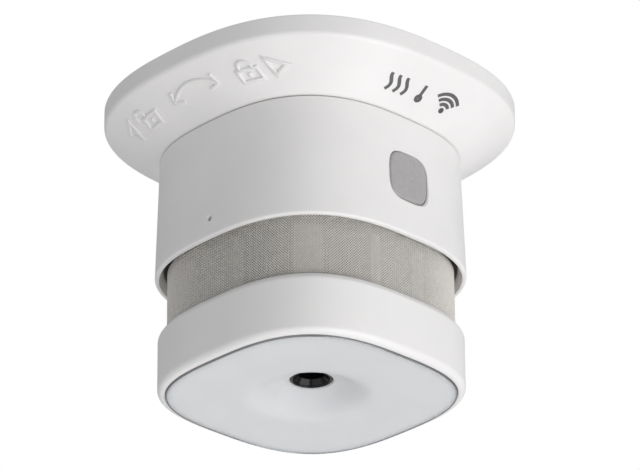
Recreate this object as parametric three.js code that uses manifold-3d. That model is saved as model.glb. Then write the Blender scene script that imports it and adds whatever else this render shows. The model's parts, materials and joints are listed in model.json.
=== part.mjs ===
// A small ceiling heat and smoke detector, hanging from its bayonet mounting bracket.
// Millimetres, +Z up. The origin is the centre of the bracket's ceiling face, so all of it hangs below z = 0.
// Front is -Y, with the test button. The pairing pinhole is in the -X face.
// A squircle is the outline |x/w|^n + |y/w|^n = 1, where w is half its width across the flats.
import * as THREE from 'three';
import { mergeVertices } from 'three/addons/utils/BufferGeometryUtils.js';
import Module from 'manifold-3d';

const wasm = await Module();
wasm.setup();

// Driving dimensions
const SIDES = 40; // facets round a housing part
const FINE = 20; // facets round a small turned part
const SMALL = 10; // facets round a screw or pin
const SEAT = 0.1; // gap between a piece and the one it sits on or in

const BRACKET = { w: 30, n: 2.56, plate: 2, rim: 2.75, rimArc: 1.1, slope: 35.1, bore: 20 };
const LIP = { n: 2.69, arc: 1.6, foot: -9.1 };
const GROOVE = { inner: 22.7, outer: 28.1, shoulder: -1.9, bottom: -5.9, foot: 23.2 };
const RIB = { count: 16, thick: 1.1 };
const SLOT = { x: 12.5, halfWidth: 2.3, halfStraight: 3 };
const BAYONET = { angles: [90, 225, 315], lugHalf: 9, ledgeHalf: 11, stopGap: 0.9 };
const LUG = { top: -4.6, bottom: -6.2, outer: 19.6 };
const LEDGE = { top: -6.6, bottom: -8.2, inner: 17.9 };

const HOUSING = {
  n: 2.65, top: -9.4, bottom: -29.48, topW: 21.575, bottomW: 22.285, topEdge: 0.22, edge: 0.36,
};
const HOUSING_INSIDE = { n: 2.7, topW: 20.07, bottomW: 20.85, mouthW: 21.5, mouth: 1.4 };
const COVER = { w: 19.75, top: -9.5, bottom: -11.1, ringOuter: 17.3, ringInner: 15.8 };
const SCREW = { at: 13.2, headR: 1.6, headTop: -9.7, headH: 1, shankR: 0.95, length: 7.5 };
const BOSS = { r: 2.3, top: -11.4, bottom: -20, web: 1.2 };

const BATTERY = { r: 8.4, half: 17.1, y: 2, z: -19.2, nubR: 3.2, nub: 1.2, edge: 0.6 };
const BAY = { halfX: 17.6, halfY: 8.8, wall: 0.8, wallX: 10, wallBottom: -17 };
const CONTACT = { gap: 0.45, thick: 0.4, half: 4, bottom: -23.4, top: -14.2, tongue: 1.5, legFrom: 1.4 };

const BOARD = { w: 19.6, top: -28, bottom: -29.2, holeR: 1.1, screws: [[13.4, -13.4], [-13.4, 13.4]] };
const BOARD_SCREW = { headR: 1.6, headH: 1.1, shankR: 0.85, length: 2.7 };
const RADIO = { low: [-14, -13], high: [-2, -5.8], height: 1.8 };
const ANTENNA = { turns: 5, coilR: 1.4, length: 10, wireR: 0.28, x: 1.6, y: -10.9, lift: 2.2 };
const CHIP = { low: [-11, 12.2], high: [-5, 18], height: 0.9 };
const CAPACITOR = { x: 0, y: 15, r: 3.1, height: 7, edge: 0.4 };
const TRANSFORMER = { x: 8, y: 14.6, r: 2.9, waist: 2.2, height: 5, cheek: 0.8 };

const BUTTON = { x: -0.1, z: -19.55, half: 4, n: 3.4, gap: 0.22, front: -21.88 };
const BUTTON_BACK = { flange: 0.75, flangeFront: -2.05, flangeBack: -2.65, stemR: 1.3, stem: -3.3 };
const SWITCH_BOARD = { halfX: 7, front: -14.5, back: -13.5, top: -15.2 };
const SWITCH = { half: 2.3, front: -17.6, back: -14.6, boreR: 1.7, boreEnd: -16 };
const PLUNGER = { r: 1.5, front: -18.3, back: -16.9 };
const LED = { near: 2.7, far: 4.3, front: -15.5, back: -14.6, half: 0.6 };
const PAIR = { y: -0.8, z: -26.3, hole: 0.36, plungerR: 0.5, plungerFrom: -20.3, plunger: 0.8 };
const PAIR_BODY = { front: -19.8, back: -17.95, half: 1.6, above: 1.3, boreR: 0.62, bore: 0.7 };

const MESH = { w: 20.354, n: 2.7, thick: 0.25, top: -28.1, bottom: -39.7 };
const CAGE = { w: 19.95, inner: 18.9, top: -29.5, bottom: -43 };
const WINDOW = { top: -30, bottom: -40.2, postHalf: 0.65, cornerHalf: 6 };
const MOUNT = { w: 18.7, top: -29.5, bottom: -30.7, hole: 14.4, screwR: 1, leadR: 0.9, legsR: 1.2 };
const POSTS = [[-5.1, 4.1], [-5, 5], [-5, 5], [-6.5, 4.4]]; // from each face's middle, -Y face first
const CHAMBER = { r: 14.1, top: -29.5, floor: -30.9, bottom: -37.4, coverTop: -37.7, coverBottom: -38.5 };
const VANE = { count: 18, at: 10.6, half: 1.7, thick: 0.7, lean: 38, step: 1.9 };
const SENSOR = { r: 1.5, rimR: 1.9, rim: 0.8, length: 3.2, nose: 3.6, z: -34, emitterAt: 20, receiverAt: 150 };
const THERMISTOR = { x: -0.5, y: -16.9, z: -34.6, bead: 1, leg: 0.2, legAt: 0.45 };

const CAP = { w: 21.35, n: 2.83, top: -39, topW: 20.86, topArc: 1.1, arc: 1.1, arcZ: -47.8, inside: 20.6 };
const SHELF = { w: 18.6, top: -44.6, bottom: -47.3 };
const LENS = { w: 19.76, n: 2.955, face: -49.06, back: -47.7, hole: 3.46, dimple: 12, rise: 2.7, thick: 1.2 };
const TRIM = { outer: 20.02, inner: 19.84, face: -49.1, back: -47.7, edge: 0.05 };
const PORT = {
  outer: 3.36, bore: 2.25, face: -46.2, back: -44.5, flange: 5, flangeH: 0.4, round: 0.75, edge: 0.2,
};
const SOUNDER = { r: 13, wall: 1, flange: 19.9, floor: -44.3, floorTop: -43.3, top: -40.9, port: 2.9 };
const PIEZO = { r: 12.6, thick: 0.3 };
const SOUNDER_LEADS = { x: 16, y: [3, -3], half: 0.35, armFrom: 8, bottom: -40.1, armTop: -39.7 };

// Materials, one per finish
const finish = (color, roughness, metalness = 0) =>
  new THREE.MeshStandardMaterial({ color, roughness, metalness });
const WHITE = finish(0xf1efee, 0.42);
const CREAM = finish(0xe6e3dd, 0.6);
const BLACK = finish(0x161617, 0.45);
const GREY = finish(0xa8a6a7, 0.3);
const FROST = finish(0xdcdee1, 0.35);
const CHROME = finish(0xd8dade, 0.12, 1);
const STEEL = finish(0x9a9792, 0.4, 0.9);
const BRASS = finish(0xc9a452, 0.3, 0.9);
const GREEN = finish(0x1d5a3a, 0.5);
const BLUE = finish(0x2c4a78, 0.5);
const CLEAR = finish(0xcfe3ea, 0.1);
const COPPER = finish(0xb8703c, 0.3, 0.8);

const radians = THREE.MathUtils.degToRad;
const onBoard = BOARD.top + SEAT;
const group = new THREE.Group();

// A closed geometry as a manifold solid, with its faces pointing out.
function solid(geometry) {
  const bare = geometry.clone();
  bare.deleteAttribute('normal');
  bare.deleteAttribute('uv');
  const merged = mergeVertices(bare, 1e-4);
  const points = merged.attributes.position;
  const corners = [];
  let volume = 0;
  const [a, b, c] = [new THREE.Vector3(), new THREE.Vector3(), new THREE.Vector3()];
  for (let i = 0; i < merged.index.count; i += 3) {
    const [p, q, r] = [0, 1, 2].map((k) => merged.index.getX(i + k));
    if (p === q || q === r || r === p) continue;
    corners.push(p, q, r);
    a.fromBufferAttribute(points, p);
    b.fromBufferAttribute(points, q);
    c.fromBufferAttribute(points, r);
    volume += a.dot(b.cross(c));
  }
  if (volume < 0) corners.reverse();
  return new wasm.Manifold(new wasm.Mesh({
    numProp: 3,
    vertProperties: new Float32Array(points.array),
    triVerts: new Uint32Array(corners),
  }));
}

const join = (first, ...rest) => rest.reduce((all, piece) => all.add(piece), first);
const cut = (first, ...rest) => rest.reduce((all, piece) => all.subtract(piece), first);

// Adds a solid to the part as one named mesh.
function piece(name, shape, material) {
  const { vertProperties, triVerts } = shape.getMesh();
  const geometry = new THREE.BufferGeometry();
  geometry.setAttribute('position', new THREE.BufferAttribute(vertProperties, 3));
  geometry.setIndex(new THREE.BufferAttribute(triVerts, 1));
  geometry.computeVertexNormals();
  const mesh = new THREE.Mesh(geometry, material);
  mesh.name = name;
  group.add(mesh);
}

// Points of a profile's arc, angles in degrees from the +w direction.
function arc(w, z, radius, from, to, steps) {
  return Array.from({ length: steps + 1 }, (_, i) => {
    const angle = radians(from + ((to - from) * i) / steps);
    return [w + radius * Math.cos(angle), z + radius * Math.sin(angle)];
  });
}

// Turns a profile of [half-width, z] about Z into a squircle body, a circle where n is 2. A point may
// give its own n as a third value. The profile starts and ends on the axis, or closes on itself.
function turn(profile, n = 2, sides = SIDES) {
  const outline = profile[0][0] > 0 ? [...profile, profile[0]] : profile;
  const geometry = new THREE.LatheGeometry(outline.map(([w, z]) => new THREE.Vector2(w, z)), sides);
  geometry.rotateX(Math.PI / 2);
  const points = geometry.attributes.position;
  for (let i = 0; i < points.count; i += 1) {
    const power = outline[i % outline.length][2] ?? n;
    const [x, y] = [points.getX(i), points.getY(i)];
    const reach = Math.hypot(x, y);
    if (power === 2 || reach === 0) continue;
    const grow = (Math.abs(x / reach) ** power + Math.abs(y / reach) ** power) ** (-1 / power);
    points.setXY(i, x * grow, y * grow);
  }
  return solid(geometry);
}

const disc = (radius, low, high, sides = FINE) =>
  turn([[0, high], [radius, high], [radius, low], [0, low]], 2, sides);
const plate = (w, n, low, high) => turn([[0, high], [w, high], [w, low], [0, low]], n);
const tube = (outer, inner, low, high, n = 2, sides = SIDES) =>
  turn([[outer, high], [outer, low], [inner, low], [inner, high]], n, sides);

// A box between two corners.
function block(low, high) {
  const size = high.map((value, i) => value - low[i]);
  const geometry = new THREE.BoxGeometry(...size);
  geometry.translate(...high.map((value, i) => (value + low[i]) / 2));
  return solid(geometry);
}

// An outline in the XY plane raised from low to high.
function raise(shape, low, high, curveSegments = SMALL) {
  const geometry = new THREE.ExtrudeGeometry(shape, { depth: high - low, bevelEnabled: false, curveSegments });
  geometry.translate(0, 0, low);
  return solid(geometry);
}

// A slice of a ring between two angles in degrees.
function sector(inner, outer, from, to, low, high) {
  const shape = new THREE.Shape();
  shape.absarc(0, 0, outer, radians(from), radians(to), false);
  shape.absarc(0, 0, inner, radians(to), radians(from), true);
  return raise(shape, low, high, 4);
}

// A round rod along +Z moved so that its far end points along direction, starting at start.
function rod(radius, length, start, direction, sides = SMALL) {
  const geometry = new THREE.CylinderGeometry(radius, radius, length, sides);
  geometry.translate(0, length / 2, 0);
  const [up, along] = [new THREE.Vector3(0, 1, 0), new THREE.Vector3(...direction).normalize()];
  geometry.applyQuaternion(new THREE.Quaternion().setFromUnitVectors(up, along));
  geometry.translate(...start);
  return solid(geometry);
}

const at = (shape, x, y, z = 0) => shape.translate([x, y, z]);
const spun = (shape, degrees) => shape.rotate([0, 0, degrees]);

// A wire of round section along a curve.
function wire(curve, radius, steps) {
  const section = new THREE.Shape();
  section.absarc(0, 0, radius, 0, 2 * Math.PI, false);
  const options = { extrudePath: curve, steps, bevelEnabled: false, curveSegments: 3 };
  return solid(new THREE.ExtrudeGeometry(section, options));
}

// The skirt's outside: down its rim, along its cone and round its lip to the lip's foot.
function skirt() {
  const { w, n, rim, rimArc, slope } = BRACKET;
  const bend = 90 - slope;
  const rimLine = arc(w - rimArc, -rim, rimArc, 0, -bend, 3);
  const [rimEndW, rimEndZ] = rimLine[rimLine.length - 1];
  const lipZ = LIP.foot + LIP.arc * (1 - Math.cos(radians(slope)));
  const lipW = rimEndW - (rimEndZ - lipZ) / Math.tan(radians(slope));
  const lipLine = arc(lipW - LIP.arc * Math.sin(radians(slope)), LIP.foot + LIP.arc, LIP.arc, -bend, -90, 3);
  return [...rimLine.map(([u, z]) => [u, z, n]), ...lipLine.map(([u, z]) => [u, z, LIP.n])];
}

// Mounting bracket: ceiling plate, cone skirt with its rim and lip, ribbed groove behind the skirt,
// two screw slots, and three ledges with end stops that hold the head's lugs.
function mountingBracket() {
  const { w, n, plate: thick, bore } = BRACKET;
  const body = turn([
    [0, 0], [GROOVE.inner, 0, n], [GROOVE.foot, GROOVE.bottom, n], [GROOVE.outer, GROOVE.shoulder, n],
    [GROOVE.outer, 0, n], [w, 0, n], ...skirt(), [bore, LIP.foot], [bore, -thick], [0, -thick],
  ]);
  const ribs = Array.from({ length: RIB.count }, (_, i) => {
    const half = RIB.thick / 2;
    const bar = block([GROOVE.inner - 1, -half, GROOVE.bottom - 0.3], [GROOVE.outer + 3.2, half, 0]);
    return spun(bar, ((i + 0.5) * 360) / RIB.count);
  });
  const inGroove = turn([
    [GROOVE.inner - 0.4, 0], [GROOVE.foot - 0.3, GROOVE.bottom - 0.2], [GROOVE.outer + 0.3, GROOVE.shoulder],
    [GROOVE.outer + 0.3, 0],
  ], n);
  const slots = [-1, 1].map((side) => {
    const slot = new THREE.Shape();
    const { x, halfWidth, halfStraight } = SLOT;
    slot.absarc(side * x, halfStraight, halfWidth, 0, Math.PI, false);
    slot.absarc(side * x, -halfStraight, halfWidth, Math.PI, 2 * Math.PI, false);
    return raise(slot, -thick - 1, 1);
  });
  const ledges = BAYONET.angles.flatMap((angle) => {
    const [from, to] = [angle - BAYONET.ledgeHalf, angle + BAYONET.ledgeHalf];
    const ledge = sector(LEDGE.inner, bore + 0.5, from, to, LEDGE.bottom, LEDGE.top);
    const stopFrom = angle + BAYONET.lugHalf + BAYONET.stopGap;
    const stop = sector(LEDGE.inner, bore + 0.5, stopFrom, to, LEDGE.top - 0.2, LUG.top);
    return [ledge, stop];
  });
  return cut(join(body, ...ribs.map((rib) => rib.intersect(inGroove)), ...ledges), ...slots);
}

// Upper housing: drafted squircle tube with the test button's window, the pairing pinhole and four
// screw bosses on webs.
function upperHousing() {
  const { n, top, bottom, topW, bottomW, edge, topEdge } = HOUSING;
  const inside = HOUSING_INSIDE;
  const shell = turn([
    [topW - topEdge, top], [topW, top - topEdge],
    ...arc(bottomW - edge, bottom + edge, edge, 0, -90, 3),
    [inside.mouthW, bottom, inside.n], [inside.bottomW, bottom + inside.mouth, inside.n],
    [inside.topW, top, inside.n],
  ], n);
  const bosses = [45, 135, 225, 315].flatMap((angle) => {
    const reach = SCREW.at * Math.SQRT2;
    const web = block([reach, -BOSS.web / 2, BOSS.bottom], [inside.topW + 2.6, BOSS.web / 2, BOSS.top]);
    const boss = at(disc(BOSS.r, BOSS.bottom, BOSS.top, SMALL), reach, 0);
    return [spun(web, angle), spun(boss, angle)];
  });
  const pilot = disc(SCREW.shankR + SEAT, BOSS.bottom + 1, 0, SMALL);
  const screws = cornerSpots(SCREW.at).map(([x, y]) => at(pilot, x, y));
  const { x, z, half, gap } = BUTTON;
  const window = facing(half + gap, BUTTON.n, -25, -18).translate([x, 0, z]);
  const pinhole = rod(PAIR.hole, 4, [-bottomW - 1.2, PAIR.y, PAIR.z], [1, 0, 0]);
  return cut(join(shell, ...bosses), ...screws, window, pinhole);
}

const cornerSpots = (reach) => [[1, 1], [-1, 1], [-1, -1], [1, -1]].map(([x, y]) => [x * reach, y * reach]);

// A squircle prism facing along Y, centred on the Y axis, from y = near to y = far.
function facing(half, n, near, far) {
  return plate(half, n, -far, -near).rotate([90, 0, 0]);
}

// Back cover: plate with the battery bay's opening, its guide walls, the bayonet ring and three lugs.
function backCover() {
  const { w, top, bottom, ringOuter, ringInner } = COVER;
  const ring = tube(ringOuter, ringInner, top - 0.3, LUG.top);
  const lugs = BAYONET.angles.map((angle) =>
    sector(ringInner + 0.5, LUG.outer, angle - BAYONET.lugHalf, angle + BAYONET.lugHalf, LUG.bottom, LUG.top),
  );
  const walls = [-BAY.halfY - BAY.wall, BAY.halfY].map((offset) => {
    const near = BATTERY.y + offset;
    return block([-BAY.wallX, near, BAY.wallBottom], [BAY.wallX, near + BAY.wall, bottom + 0.3]);
  });
  const bay = block([-BAY.halfX, BATTERY.y - BAY.halfY, -12], [BAY.halfX, BATTERY.y + BAY.halfY, 0]);
  const sinks = cornerSpots(SCREW.at).flatMap(([x, y]) => [
    at(disc(SCREW.headR + 0.25, SCREW.headTop - SCREW.headH - SEAT, 0, SMALL), x, y),
    at(disc(SCREW.shankR + 0.15, -13, 0, SMALL), x, y),
  ]);
  return cut(join(plate(w, HOUSING_INSIDE.n, bottom, top), ring, ...lugs, ...walls), bay, ...sinks);
}

// A pan-head screw with a cross recess, its head's top at z = 0.
function screw(headR, headH, shankR, length) {
  const body = turn([[0, 0], [headR * 0.8, 0], [headR, -headH * 0.45], [headR, -headH], [shankR, -headH],
    [shankR, -headH - length + 0.8], [0, -headH - length]], 2, SMALL);
  const reach = headR * 0.62;
  const slot = block([-reach, -0.2, -headH * 0.55], [reach, 0.2, 1]);
  return cut(body, slot, spun(slot, 90));
}

// Lithium cell lying along X, positive nub at +X.
function battery() {
  const { r, half, nubR, nub, y, z, edge } = BATTERY;
  const shoulder = half - nub;
  const cell = turn([[0, -half], [r - edge, -half], [r, -half + edge], [r, shoulder - edge],
    [r - edge, shoulder], [nubR, shoulder], [nubR, half], [0, half]], 2, FINE);
  return cell.rotate([0, 90, 0]).translate([0, y, z]);
}

// Battery contacts: a sprung plate at each end of the cell, pressed forward in its middle, with a leg
// down to the board.
function batteryContact(side) {
  const { y, z, half: cellHalf } = BATTERY;
  const { gap, thick, half, bottom, top, tongue, legFrom } = CONTACT;
  const near = cellHalf + gap;
  const blade = block([near, y - half, bottom], [near + thick, y + half, top]);
  const leg = block([near, y + legFrom, onBoard], [near + thick, y + half, z]);
  const pad = block([near - gap + SEAT, y - tongue, z - tongue], [near + thick / 2, y + tongue, z + tongue]);
  const contact = join(blade, leg, pad);
  return side > 0 ? contact : contact.mirror([1, 0, 0]);
}

// Main board: squircle board with holes for its two screws.
function mainBoard() {
  const hole = disc(BOARD.holeR, BOARD.bottom - 1, BOARD.top + 1, SMALL);
  const holes = BOARD.screws.map(([x, y]) => at(hole, x, y));
  return cut(plate(BOARD.w, HOUSING_INSIDE.n, BOARD.bottom, BOARD.top), ...holes);
}

// A box that stands on the board.
function boxOnBoard({ low, high, height }) {
  return block([...low, onBoard], [...high, onBoard + height]);
}

function storageCapacitor() {
  const { x, y, r, height, edge } = CAPACITOR;
  const can = turn([[0, height], [r - edge, height], [r, height - edge], [r, 0], [0, 0]], 2, FINE);
  return at(can, x, y, onBoard);
}

function sounderTransformer() {
  const { x, y, r, waist, height, cheek } = TRANSFORMER;
  const bobbin = turn([[0, height], [r, height], [r, height - cheek], [waist, height - cheek], [waist, cheek],
    [r, cheek], [r, 0], [0, 0]], 2, FINE);
  return at(bobbin, x, y, onBoard);
}

// Helical antenna along X, with a leg down to the board at its start.
function antenna() {
  const { turns, coilR, length, wireR, x, y, lift } = ANTENNA;
  class Helix extends THREE.Curve {
    getPoint(t, target = new THREE.Vector3()) {
      const angle = 2 * Math.PI * turns * t;
      return target.set(length * t, coilR * Math.sin(angle), -coilR * Math.cos(angle));
    }
  }
  const coil = wire(new Helix(), wireR, turns * 8).translate([x, y, onBoard + lift]);
  return join(coil, rod(wireR, lift - coilR + SEAT, [x, y, onBoard], [0, 0, 1], 8));
}

// Test switch behind the button: body with a bore for its plunger, on the upright switch board.
function testSwitchBody() {
  const { half, front, back, boreR, boreEnd } = SWITCH;
  const { x, z } = BUTTON;
  const body = block([x - half, front, z - half], [x + half, back, z + half]);
  return cut(body, rod(boreR, 3, [x, boreEnd, z], [0, -1, 0], 16));
}

// Test button: squircle cap with a slight crown, a retaining flange inside the wall, and a stem.
function testButton() {
  const { x, z, half, n, front } = BUTTON;
  const { flange, flangeFront, flangeBack, stemR, stem } = BUTTON_BACK;
  const wide = half + flange;
  const face = turn([[0, 0.1], [half * 0.6, 0.07], [half - 0.35, 0], [half, -0.35], [half, flangeFront],
    [wide, flangeFront], [wide, flangeBack], [stemR, flangeBack], [stemR, stem], [0, stem]], n, 32);
  return face.rotate([90, 0, 0]).translate([x, front, z]);
}

function testSwitchPlunger() {
  const { r, front, back } = PLUNGER;
  return rod(r, back - front, [BUTTON.x, front, BUTTON.z], [0, 1, 0], 16);
}

// Pairing switch behind the pinhole: body with a bore for its plunger.
function pairingSwitchBody() {
  const { front, back, half, above, boreR, bore } = PAIR_BODY;
  const body = block([front, PAIR.y - half, onBoard], [back, PAIR.y + half, PAIR.z + above]);
  return cut(body, rod(boreR, bore + 1, [front - 1, PAIR.y, PAIR.z], [1, 0, 0]));
}

function pairingSwitchPlunger() {
  return rod(PAIR.plungerR, PAIR.plunger, [PAIR.plungerFrom, PAIR.y, PAIR.z], [1, 0, 0]);
}

// Cage behind the mesh: a thin top ring, twelve posts and a clamping skirt.
function meshCage() {
  const { w, inner, top, bottom } = CAGE;
  const posts = cagePosts();
  const windows = posts.map(({ high }, i) => {
    const next = i + 1 < posts.length ? posts[i + 1].low : posts[0].low + 360;
    return sector(16.5, 26, high, next, WINDOW.bottom, WINDOW.top);
  });
  return cut(tube(w, inner, bottom, top, MESH.n), ...windows);
}

// Chamber mount: dark plate that holds the optical chamber under the board. Holes pass the board
// screws, the thermistor's legs and the sounder's leads.
function chamberMount() {
  const { w, top, bottom, hole, screwR, leadR, legsR } = MOUNT;
  const plateRing = turn([[w, top], [w, bottom], [hole, bottom, 2], [hole, top, 2]], MESH.n);
  const through = (x, y, radius) => at(disc(radius, bottom - 1, top + 1, SMALL), x, y);
  const screws = BOARD.screws.map(([x, y]) => through(x, y, screwR));
  const leads = SOUNDER_LEADS.y.map((y) => through(SOUNDER_LEADS.x, y, leadR));
  return cut(plateRing, ...screws, ...leads, through(THERMISTOR.x, THERMISTOR.y, legsR));
}

// The cage posts' edges in degrees, in order round from -Y: two narrow posts on each face, and a wide
// one at each corner.
function cagePosts() {
  return POSTS.flatMap((spots, i) => {
    const middle = -90 + 90 * i;
    const edge = (spot) => middle + (Math.atan2(spot, CAGE.w) * 180) / Math.PI;
    const half = WINDOW.postHalf;
    const narrow = spots.map((spot) => ({ low: edge(spot - half), high: edge(spot + half) }));
    return [...narrow, { low: middle + 45 - WINDOW.cornerHalf, high: middle + 45 + WINDOW.cornerHalf }];
  });
}

// Optical chamber: floor with a ring of slanted vanes that keep light out and let smoke in.
function chamberBase() {
  const { r, top, floor, bottom } = CHAMBER;
  const { count, at: ringR, half, thick, lean, step } = VANE;
  const blade = block([-half, -thick / 2, bottom], [half, thick / 2, floor + 0.2]);
  const bent = join(spun(blade, lean), at(spun(blade, -lean), step, 0.2));
  const ring = Array.from({ length: count }, (_, i) => spun(at(bent, ringR, 0), (i * 360) / count));
  return join(disc(r, floor, top, SIDES), ...ring);
}

// A light emitter or receiver lying flat in the chamber and looking at its centre.
function opticalSensor(angle) {
  const { r, rimR, rim, length, nose, z } = SENSOR;
  const body = turn([[0, 0], [r * 0.65, -0.4], [r, -1.2], [r, -length], [rimR, -length], [rimR, -length - rim],
    [0, -length - rim]], 2, SMALL);
  return spun(at(body.rotate([0, -90, 0]), nose, 0, z), angle);
}

// Heat sensor: a bead on two leads, standing in the air path inside the mesh.
function thermistor() {
  const { x, y, z, bead, leg, legAt } = THERMISTOR;
  const ball = new THREE.SphereGeometry(bead, SMALL, 8);
  ball.translate(x, y, z);
  const legs = [-legAt, legAt].map((offset) =>
    rod(leg, BOARD.bottom - SEAT - z, [x + offset, y, z], [0, 0, 1], 8));
  return join(solid(ball), ...legs);
}

// Lower cap: squircle collar with rounded edges and a shelf that the lens and sounder rest on. Its lower
// edge goes over to the lens's outline as it rounds in to the trim ring.
function lowerCap() {
  const { w, n, top, topW, topArc, arc: edge, arcZ, inside } = CAP;
  const lower = arc(w - edge, arcZ, edge, 0, -90, 4);
  const foot = lower[lower.length - 1][1];
  return turn([
    [inside, top], [topW, top],
    ...arc(w - topArc, top - topArc, topArc, 60, 0, 2),
    ...lower.map(([u, z], i) => [u, z, n + ((LENS.n - n) * i) / (lower.length - 1)]),
    [TRIM.outer + SEAT, foot, LENS.n], [TRIM.outer + SEAT, SHELF.bottom, LENS.n],
    [SHELF.w, SHELF.bottom], [SHELF.w, SHELF.top], [inside - 0.1, SHELF.top],
  ], n);
}

// The dimple's depth above the lens face at a radius, a smooth funnel up to the sounder port.
function dimple(radius) {
  const along = THREE.MathUtils.clamp((radius - LENS.hole) / (LENS.dimple - LENS.hole), 0, 1);
  return LENS.rise * (0.5 + 0.5 * Math.cos(Math.PI * along)) ** 2;
}

// Diffuser lens: translucent face plate that funnels up to the port.
function diffuserLens() {
  const { w, n, face, back, hole, dimple: reach, thick } = LENS;
  const radii = [0, 0.25, 0.5, 0.75, 1].map((part) => hole + (reach - hole) * part);
  return turn([
    ...radii.map((radius) => [radius, face + dimple(radius), 2]),
    [w - 0.2, face, n], [w, face + 0.2, n], [w, back, n],
    ...radii.reverse().map((radius) => [radius, face + dimple(radius) + thick, 2]),
  ]);
}

function trimRing() {
  const { outer, inner, face, back, edge } = TRIM;
  return turn([[outer, face + edge], [outer - edge, face], [inner + edge, face], [inner, face + edge],
    [inner, back], [outer, back]], LENS.n);
}

// Sounder: port ring, resonator housing with its flange, piezo disc and two spring leads.
function portRing() {
  const { outer, bore, face, back, flange, flangeH, round, edge } = PORT;
  return turn([
    ...arc(bore + round, face + round, round, 180, 270, 3), [outer - edge, face], [outer, face + edge],
    [outer, back - flangeH], [flange, back - flangeH], [flange, back], [bore, back],
  ], 2, FINE);
}

function sounderHousing() {
  const { r, wall, flange, floor, floorTop, top, port } = SOUNDER;
  return turn([[port, floor], [flange, floor, MESH.n], [flange, floorTop, MESH.n], [r, floorTop], [r, top],
    [r - wall, top], [r - wall, floorTop], [port, floorTop]], 2);
}

function sounderLead(y) {
  const { x, half, armFrom, bottom, armTop } = SOUNDER_LEADS;
  const upright = block([x - half, y - half, bottom], [x + half, y + half, BOARD.bottom - SEAT]);
  const arm = block([armFrom, y - half, bottom], [x, y + half, armTop]);
  return join(upright, arm);
}

// Assembly
piece('mounting_bracket', mountingBracket(), WHITE);
piece('upper_housing', upperHousing(), WHITE);
piece('back_cover', backCover(), WHITE);
cornerSpots(SCREW.at).forEach(([x, y], i) => {
  const fastener = screw(SCREW.headR, SCREW.headH, SCREW.shankR, SCREW.length);
  piece(`cover_screw_${i + 1}`, at(fastener, x, y, SCREW.headTop), STEEL);
});
piece('battery', battery(), BLUE);
piece('battery_contact_positive', batteryContact(1), BRASS);
piece('battery_contact_negative', batteryContact(-1), BRASS);

piece('main_board', mainBoard(), GREEN);
BOARD.screws.forEach(([x, y], i) => {
  const { headR, headH, shankR, length } = BOARD_SCREW;
  piece(`board_screw_${i + 1}`, at(screw(headR, headH, shankR, length), x, y, onBoard + headH), STEEL);
});
piece('radio_module', boxOnBoard(RADIO), STEEL);
piece('radio_antenna', antenna(), COPPER);
piece('controller_chip', boxOnBoard(CHIP), BLACK);
piece('storage_capacitor', storageCapacitor(), BLACK);
piece('sounder_transformer', sounderTransformer(), COPPER);

piece('switch_board', block([-SWITCH_BOARD.halfX, SWITCH_BOARD.front, onBoard],
  [SWITCH_BOARD.halfX, SWITCH_BOARD.back, SWITCH_BOARD.top]), GREEN);
piece('test_switch_body', testSwitchBody(), BLACK);
piece('test_switch_plunger', testSwitchPlunger(), BLACK);
piece('test_button', testButton(), GREY);
piece('status_led', block([LED.near, LED.front, BUTTON.z - LED.half],
  [LED.far, LED.back, BUTTON.z + LED.half]), CLEAR);
piece('pairing_switch_body', pairingSwitchBody(), BLACK);
piece('pairing_switch_plunger', pairingSwitchPlunger(), CREAM);

piece('optical_chamber_base', chamberBase(), BLACK);
piece('optical_chamber_cover', tube(CHAMBER.r, 0.9, CHAMBER.coverBottom, CHAMBER.coverTop), BLACK);
piece('infrared_emitter', opticalSensor(SENSOR.emitterAt), CLEAR);
piece('photodiode', opticalSensor(SENSOR.receiverAt), BLACK);
piece('heat_sensor', thermistor(), BLACK);
piece('insect_mesh', tube(MESH.w, MESH.w - MESH.thick, MESH.bottom, MESH.top, MESH.n), STEEL);
piece('mesh_cage', meshCage(), CREAM);
piece('chamber_mount', chamberMount(), BLACK);

piece('lower_cap', lowerCap(), WHITE);
piece('trim_ring', trimRing(), CHROME);
piece('diffuser_lens', diffuserLens(), FROST);
piece('sounder_port_ring', portRing(), BLACK);
piece('sounder_housing', sounderHousing(), BLACK);
piece('piezo_disc', disc(PIEZO.r, SOUNDER.top + SEAT, SOUNDER.top + SEAT + PIEZO.thick, SIDES), BRASS);
SOUNDER_LEADS.y.forEach((y, i) => piece(`sounder_lead_${i + 1}`, sounderLead(y), BRASS));

export default group;
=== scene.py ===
"""The looks of a small ceiling heat and smoke detector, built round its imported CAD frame.

The frame is in metres, +Z up, with the origin at the middle of the bracket's ceiling face. The detector
hangs below it, its test button towards -Y and its pairing pinhole towards -X. Sizes of its pieces are in
millimetres, and MM takes them to metres. Other lengths are in metres.
A squircle is the outline |x/w|^n + |y/w|^n = 1, where w is half its width across the flats.
"""

import json
import math

import bmesh
import bpy
import numpy as np
from mathutils import Matrix, Quaternion, Vector


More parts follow.
